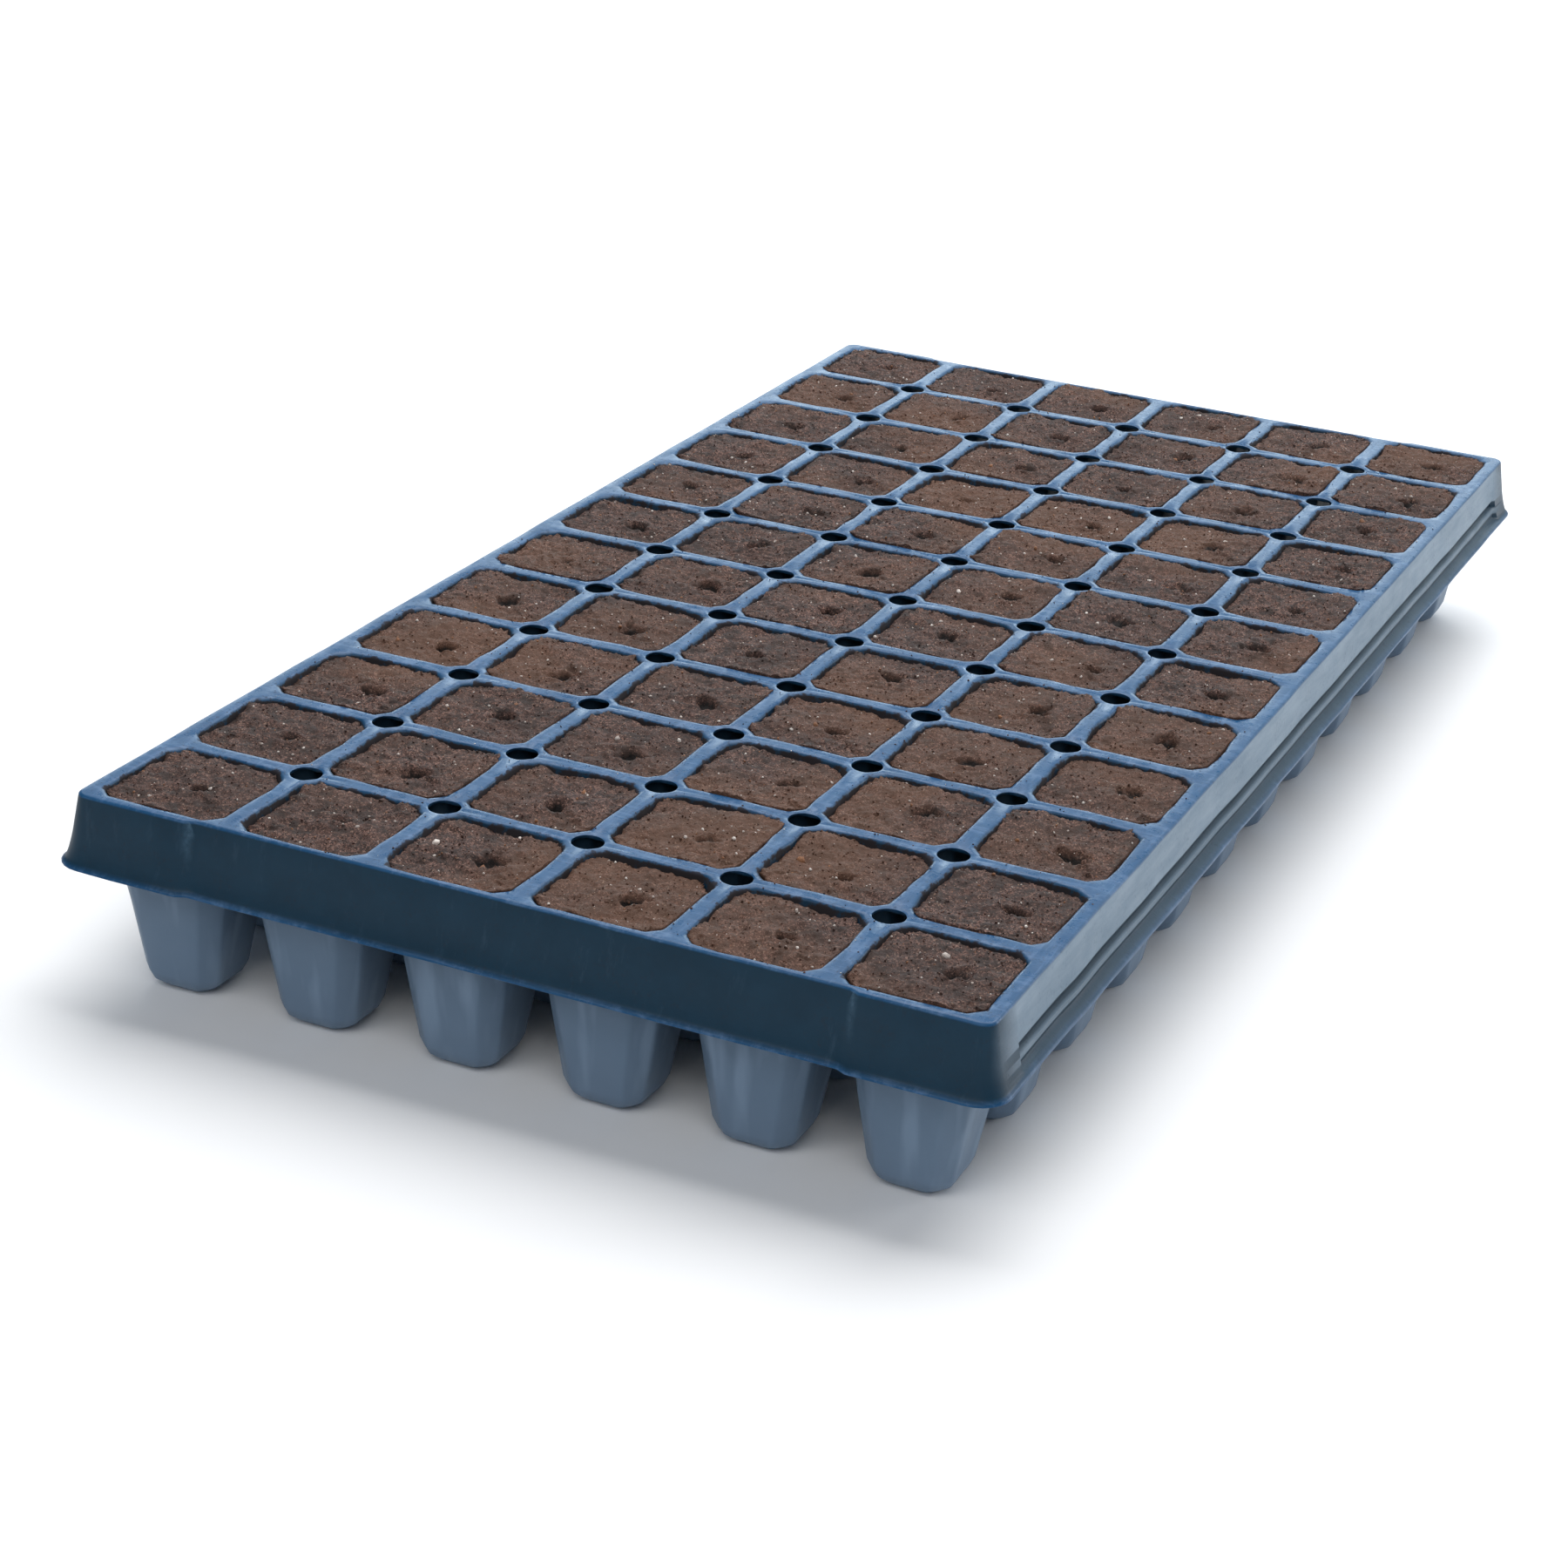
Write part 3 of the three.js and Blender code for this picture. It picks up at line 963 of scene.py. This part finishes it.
def end_creases(n, base):
    """A painted highlight: a pale, broken line down each step in the ends, fading towards the lip.
    """
    off = n.math("ABSOLUTE", n.math("SUBTRACT", n.math("ABSOLUTE", n.across), END_STEP_X))
    crease = n.ramp(n.math("DIVIDE", off, 1.8 * MM), (0.0, 1.0), (1.0, 0.0))
    broken = n.ramp(n.noise(300, 4, 0.7), (0.35, 0.0), (0.65, 0.8))
    above_lip = n.math("SUBTRACT", n.height, DECK - 14 * MM)
    fading = n.math("DIVIDE", above_lip, 12 * MM, clamp=True)
    on_end = n.math("GREATER_THAN", n.math("ABSOLUTE", n.along), GRID_HALF_Y)
    return n.mix(n.times(crease, broken, fading, on_end), base, CREASE)


def deck_wear(n, base, worn):
    """Rubbed patches on the deck, and fine scuffs across it and along it."""
    rubbed = n.ramp(n.noise(210, 5, 0.7), (0.52, 0.0), (0.70, 1.0))
    base = n.mix(n.times(rubbed, worn, 0.5), base, RUBBED)
    for direction in ((1, 0.1, 1), (0.1, 1, 1)):
        scuffs = n.ramp(n.noise(420, 4, 0.65, n.stretched(direction)), (0.54, 0.0), (0.66, 0.4))
        base = n.mix(n.times(scuffs, worn), base, SCUFFED)
    return base


def stuck_medium(n, above):
    """How much medium sticks to the sheet: patches of specks, and inside the cells a stain with a
    creeping edge, which also paints shade into the cells."""
    specks = n.ramp(n.noise(900, 3, 0.6), (0.54, 0.0), (0.66, 1.0))
    patches = n.ramp(n.noise(130, 4, 0.65), (0.42, 0.0), (0.62, 1.0))
    creeping = n.times(n.math("SUBTRACT", n.noise(240, 5, 0.65), 0.5), 1.2)
    # the stain inside the cells: stuck medium and painted shade
    stain = n.ramp(n.math("ADD", n.mark("dust"), creeping), (0.86, 0.0), (0.96, 0.95))
    return n.times(n.math("MAXIMUM", n.times(specks, patches, n.mark("dust")), stain), above)


def plastic_material():
    """Slate-blue moulded sheet: navy on its sides as painted shade, paler on top as painted light
    and where it is worn, greyer where it is drawn thin and lighter towards the cups' feet as painted
    light from below, silvery along the long sides as a painted sheen, and stained with medium inside
    the cells, where the stain is also painted shade."""
    n = Nodes("slate_blue_plastic")
    under = n.mark("under")
    above = n.math("SUBTRACT", 1.0, under)
    # 1 on the deck's top: wear there, and painted light against the painted shade of the sides
    worn = n.times(n.mark("worn"), above)
    mottle = n.noise(60, 5, 0.6)
    base = n.ramp(mottle, (0.3, NAVY[0]), (0.7, NAVY[1]))
    pale = n.ramp(n.noise(75, 6, 0.65), (0.3, WORN_BLUE[0]), (0.7, WORN_BLUE[1]))
    base = n.mix(worn, base, pale)
    base = cup_tint(n, base, under)
    streaks = n.ramp(n.noise(26, 6, 0.75, n.stretched((9, 9, 1))), (0.58, 0.0), (0.72, 1.0))
    base = n.mix(n.times(streaks, 0.07), base, FAINT_STREAKS)
    base = side_brushing(n, base, above)
    base = end_creases(n, base)
    base = deck_wear(n, base, worn)
    dust = stuck_medium(n, above)
    base = n.mix(n.times(dust, 0.9), base, STUCK_MEDIUM)
    polished = n.ramp(n.noise(220, 4, 0.6), (0.3, 0.24), (0.7, 0.36))
    matt = n.ramp(n.noise(90, 3, 0.5), (0.3, 0.42), (0.7, 0.50))
    rough = n.mix(dust, n.mix(worn, matt, polished), (0.9, 0.9, 0.9))
    grain = n.bump(n.noise(1600, 2, 0.5), 0.10, 0.2 * MM)
    return n.finish(base, rough, n.bump(mottle, 0.25, 0.6 * MM, grain), 0.22)


def soil_tone(n):
    """The colour of the peat mix alone: crumbs, fibres, dark clumps, damp patches, pale flecks."""
    crumbs = n.add("ShaderNodeSeparateColor")
    n.link(n.cells(2600, 0.9 * MM, "Color"), crumbs.inputs[0])
    tone = n.ramp(crumbs.outputs[0], *CRUMBS)
    tone = n.mix(n.ramp(n.noise(620, 6, 0.75), (0.50, 0.0), (0.70, 0.8)), tone, FIBRES)
    tone = n.mix(n.ramp(n.noise(230, 4, 0.6), (0.38, 0.85), (0.52, 0.0)), tone, CLUMPS)
    tone = n.mix(n.ramp(n.noise(34, 3, 0.5), (0.35, 0.45), (0.65, 0.0)), tone, DAMP)
    tone = n.mix(n.ramp(n.noise(14, 2, 0.5), (0.46, 0.0), (0.66, 0.5)), tone, REDDISH)
    flecks = n.math("GREATER_THAN", crumbs.outputs[1], 0.985)
    return n.mix(n.times(flecks, 0.6), tone, FLECKS)


def medium_material():
    """Moist peat mix, with painted shade in the seed's hollow, perlite and bark where the mesh is
    marked.
    """
    n = Nodes("peat_mix")
    tone = soil_tone(n)
    ragged = n.times(n.math("SUBTRACT", n.noise(800, 3, 0.6), 0.5), 0.6)
    hollow = n.math("ADD", n.mark("hollow"), ragged)
    # painted shade in the seed's hollow
    tone = n.mix(n.ramp(hollow, (0.25, 0.0), (0.62, 0.95)), tone, SEED_HOLLOW)
    dirty = n.ramp(n.noise(700, 3, 0.6), (0.35, PERLITE[0]), (0.6, PERLITE[1]))
    tone = n.mix(n.mark("perlite"), tone, dirty)
    woody = n.ramp(n.noise(500, 3, 0.6), (0.3, BARK[0]), (0.7, BARK[1]))
    tone = n.mix(n.mark("bark"), tone, woody)
    lumps = n.times(n.cells(1900, 0.5 * MM, "Distance"), 0.6)
    normal = n.bump(n.math("ADD", n.noise(1400, 5, 0.7), lumps), 0.55, 0.35 * MM)
    return n.finish(tone, 0.70, normal, 0.25)


MEDIUM = medium_material()


# ---- the studio ----

FLOOR_HALF = 9.0
FLOOR_GREY = 0.90
SKY_COLOUR, SKY_STRENGTH = (0.70, 0.82, 1.0), 0.18
WHITE, COOL = (1, 1, 1), (0.82, 0.95, 1.0)
LIGHTS = [
    # name, place, aim, size, watts, colour
    ("overhead", (-0.1, 0.95, 2.0), (0, 0.15, 0), (2.6, 2.2), 72, WHITE),
    ("behind", (-0.6, 1.8, 0.45), (0, 0.2, 0.05), (2.6, 0.42), 13, COOL),
    ("right", (1.9, 1.8, 0.7), (0, 0, 0), (1.2, 0.9), 20, WHITE),
    ("front", (0.2, -1.7, 1.5), (0, -0.35, 0), (2.4, 1.2), 20, WHITE),
]

# the viewpoint: compass angle, height above the horizon and roll, in degrees, and its place from
# the middle of the deck
VIEW_AZIMUTH, VIEW_ELEVATION, VIEW_ROLL = 23.18, 23.41, 3.39
VIEW_PLACE = (0.36899, -0.95085, 0.37383)
LENS, SENSOR = 76.98, 36.0


def floor():
    """A wide pale floor under the tray's feet."""
    corners = [(-1, -1, 0), (1, -1, 0), (1, 1, 0), (-1, 1, 0)]
    made = mesh_object("floor", FLOOR_HALF * np.array(corners), [np.array([[0, 1, 2, 3]])])
    material = bpy.data.materials.new("pale_floor")
    material.use_nodes = True
    shader = material.node_tree.nodes["Principled BSDF"]
    shader.inputs["Base Color"].default_value = (FLOOR_GREY, FLOOR_GREY, FLOOR_GREY, 1)
    shader.inputs["Roughness"].default_value = 0.9
    made.data.materials.append(material)


def area_light(name, place, aim, size, power, colour):
    data = bpy.data.lights.new(name, "AREA")
    data.shape = "RECTANGLE"
    data.size, data.size_y = size
    data.energy = power
    data.color = colour
    made = bpy.data.objects.new(name, data)
    made.location = place
    made.rotation_euler = (Vector(aim) - Vector(place)).to_track_quat("-Z", "Y").to_euler()
    bpy.context.collection.objects.link(made)


def lights():
    """A cool, dim sky, and the studio's lamps."""
    world = bpy.data.worlds.new("studio")
    world.use_nodes = True
    background = world.node_tree.nodes["Background"]
    background.inputs["Color"].default_value = (*SKY_COLOUR, 1)
    background.inputs["Strength"].default_value = SKY_STRENGTH
    bpy.context.scene.world = world
    for light in LIGHTS:
        area_light(*light)


def camera():
    data = bpy.data.cameras.new("view")
    data.lens = LENS
    data.sensor_width = SENSOR
    data.clip_start, data.clip_end = 0.01, 50
    made = bpy.data.objects.new("view", data)
    azimuth, elevation, roll = map(math.radians, (VIEW_AZIMUTH, VIEW_ELEVATION, VIEW_ROLL))
    back = Vector((
        math.sin(azimuth) * math.cos(elevation),
        -math.cos(azimuth) * math.cos(elevation),
        math.sin(elevation),
    ))
    right = Vector((math.cos(azimuth), math.sin(azimuth), 0))
    up = back.cross(right)
    x = math.cos(roll) * right + math.sin(roll) * up
    y = -math.sin(roll) * right + math.cos(roll) * up
    turn = Matrix((x, y, back)).transposed().to_4x4()
    made.matrix_world = Matrix.Translation(Vector(VIEW_PLACE) + Vector((0, 0, DECK))) @ turn
    bpy.context.collection.objects.link(made)
    bpy.context.scene.camera = made


camera()
lights()
floor()
bpy.context.scene.view_settings.view_transform = "Standard"
tray_shell()
all_plugs()
spilt_crumbs()
